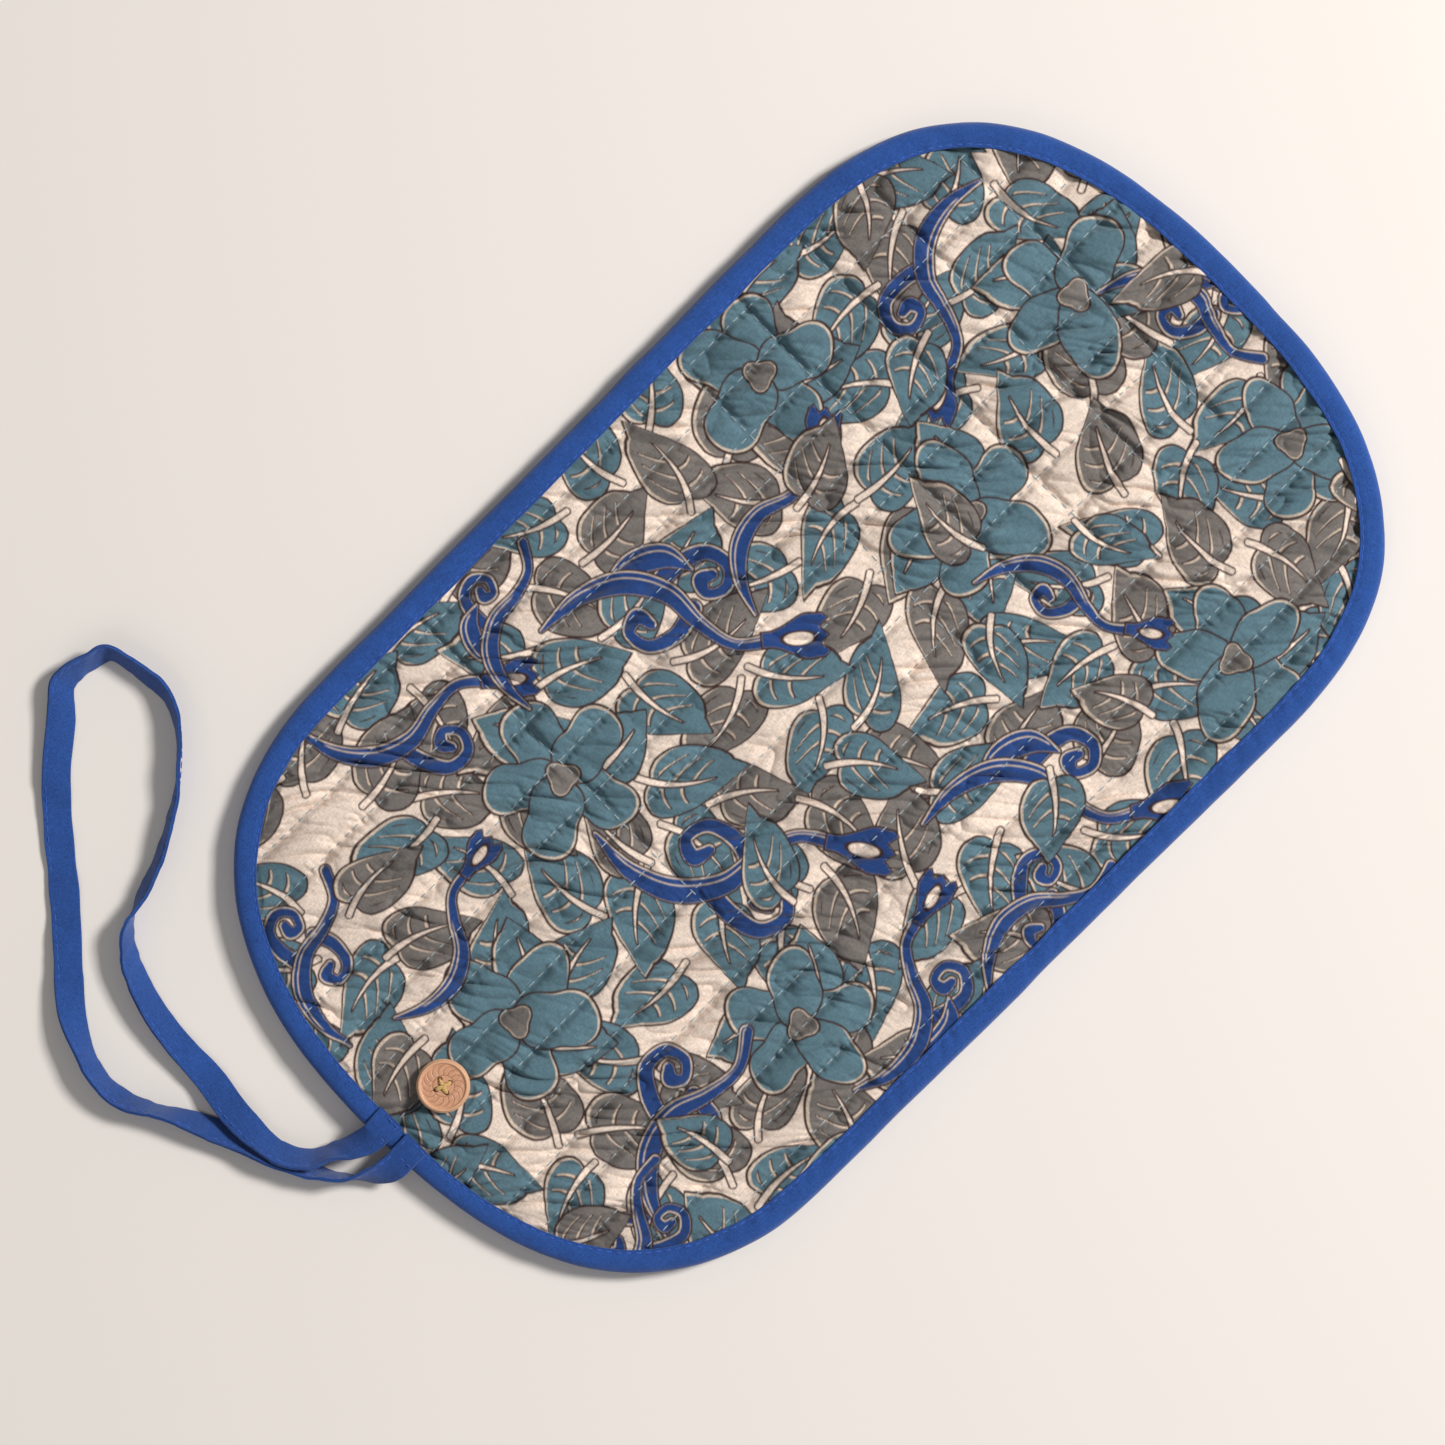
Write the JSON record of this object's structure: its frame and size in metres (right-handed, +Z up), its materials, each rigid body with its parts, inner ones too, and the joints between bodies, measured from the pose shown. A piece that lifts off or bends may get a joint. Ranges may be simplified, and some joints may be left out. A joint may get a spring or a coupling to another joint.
{
  "type": "brush roll case",
  "caption": "Quilted cloth roll case for paint brushes, lying open, with inside pockets, bound edges, a strap loop and a wooden button.",
  "frame": {"origin": "middle of the open case's outline, at its lower face, without the strap loop", "axes": "+X along the case from the button end to the far end, +Y to the pockets' closed edge, +Z up through the printed outside"},
  "size_m": [0.5185, 0.3423, 0.0148],
  "materials": {
    "print_cover": "printed linen-look cotton, quilted",
    "wadding": "lofty fleece",
    "lining": "plain woven cotton",
    "binding": "bias-cut woven cotton",
    "pocket": "plain woven cotton",
    "strap": "folded and stitched cotton tape",
    "button": "carved and waxed",
    "thread": "twisted sewing thread"
  },
  "bodies": {
    "panel_01": {"outer_cover_01": "print_cover", "wadding_01": "wadding", "lining_01": "lining", "edge_binding_01": "binding", "pocket_wall_01": "pocket", "loop_tabs": "strap"},
    "panel_02": {"outer_cover_02": "print_cover", "wadding_02": "wadding", "lining_02": "lining", "edge_binding_02": "binding", "pocket_wall_02": "pocket"},
    "panel_03": {"outer_cover_03": "print_cover", "wadding_03": "wadding", "lining_03": "lining", "edge_binding_03": "binding", "pocket_wall_03": "pocket"},
    "panel_04": {"outer_cover_04": "print_cover", "wadding_04": "wadding", "lining_04": "lining", "edge_binding_04": "binding", "pocket_wall_04": "pocket"},
    "panel_05": {"outer_cover_05": "print_cover", "wadding_05": "wadding", "lining_05": "lining", "edge_binding_05": "binding", "pocket_wall_05": "pocket"},
    "panel_06": {"outer_cover_06": "print_cover", "wadding_06": "wadding", "lining_06": "lining", "edge_binding_06": "binding", "pocket_wall_06": "pocket"},
    "panel_07": {"outer_cover_07": "print_cover", "wadding_07": "wadding", "lining_07": "lining", "edge_binding_07": "binding", "pocket_wall_07": "pocket"},
    "panel_08": {"outer_cover_08": "print_cover", "wadding_08": "wadding", "lining_08": "lining", "edge_binding_08": "binding", "pocket_wall_08": "pocket"},
    "panel_09": {"outer_cover_09": "print_cover", "wadding_09": "wadding", "lining_09": "lining", "edge_binding_09": "binding", "pocket_wall_09": "pocket"},
    "panel_10": {"outer_cover_10": "print_cover", "wadding_10": "wadding", "lining_10": "lining", "edge_binding_10": "binding", "pocket_wall_10": "pocket"},
    "panel_11": {"outer_cover_11": "print_cover", "wadding_11": "wadding", "lining_11": "lining", "edge_binding_11": "binding", "pocket_wall_11": "pocket"},
    "tie_loop": {"tie_loop": "strap"},
    "button": {"closure_button": "button", "button_thread": "thread"}
  },
  "joints": [
    {"name": "roll_01", "type": "hinge", "parent": "panel_01", "child": "panel_02", "pos_m": [-0.172, 0, 0.005], "axis": [0, 1, 0], "range_deg": [0, 64]},
    {"name": "roll_02", "type": "hinge", "parent": "panel_02", "child": "panel_03", "pos_m": [-0.126, 0, 0.005], "axis": [0, 1, 0], "range_deg": [0, 55]},
    {"name": "roll_03", "type": "hinge", "parent": "panel_03", "child": "panel_04", "pos_m": [-0.08, 0, 0.005], "axis": [0, 1, 0], "range_deg": [0, 56]},
    {"name": "roll_04", "type": "hinge", "parent": "panel_04", "child": "panel_05", "pos_m": [-0.03467, 0, 0.005], "axis": [0, 1, 0], "range_deg": [0, 64]},
    {"name": "roll_05", "type": "hinge", "parent": "panel_05", "child": "panel_06", "pos_m": [0.01067, 0, 0.005], "axis": [0, 1, 0], "range_deg": [0, 69]},
    {"name": "roll_06", "type": "hinge", "parent": "panel_06", "child": "panel_07", "pos_m": [0.056, 0, 0.005], "axis": [0, 1, 0], "range_deg": [0, 60]},
    {"name": "roll_07", "type": "hinge", "parent": "panel_07", "child": "panel_08", "pos_m": [0.088, 0, 0.005], "axis": [0, 1, 0], "range_deg": [0, 53]},
    {"name": "roll_08", "type": "hinge", "parent": "panel_08", "child": "panel_09", "pos_m": [0.12, 0, 0.005], "axis": [0, 1, 0], "range_deg": [0, 57]},
    {"name": "roll_09", "type": "hinge", "parent": "panel_09", "child": "panel_10", "pos_m": [0.152, 0, 0.005], "axis": [0, 1, 0], "range_deg": [0, 68]},
    {"name": "roll_10", "type": "hinge", "parent": "panel_10", "child": "panel_11", "pos_m": [0.184, 0, 0.005], "axis": [0, 1, 0], "range_deg": [0, 86]},
    {"name": "loop_lift", "type": "hinge", "parent": "panel_01", "child": "tie_loop", "pos_m": [-0.229, -0.007, 0.0108], "axis": [0, 1, 0], "range_deg": [0, 120]},
    {"name": "button_turn", "type": "hinge", "parent": "panel_01", "child": "button", "pos_m": [-0.196, -0.0057, 0.0125], "axis": [0, 0, 1], "range_deg": [-20, 20]}
  ],
  "couplings": [
    {"joint": "roll_02", "follows": "roll_01", "ratio": 0.85938},
    {"joint": "roll_03", "follows": "roll_01", "ratio": 0.875},
    {"joint": "roll_04", "follows": "roll_01", "ratio": 1},
    {"joint": "roll_05", "follows": "roll_01", "ratio": 1.0781},
    {"joint": "roll_06", "follows": "roll_01", "ratio": 0.9375},
    {"joint": "roll_07", "follows": "roll_01", "ratio": 0.82812},
    {"joint": "roll_08", "follows": "roll_01", "ratio": 0.89062},
    {"joint": "roll_09", "follows": "roll_01", "ratio": 1.0625},
    {"joint": "roll_10", "follows": "roll_01", "ratio": 1.3438}
  ]
}
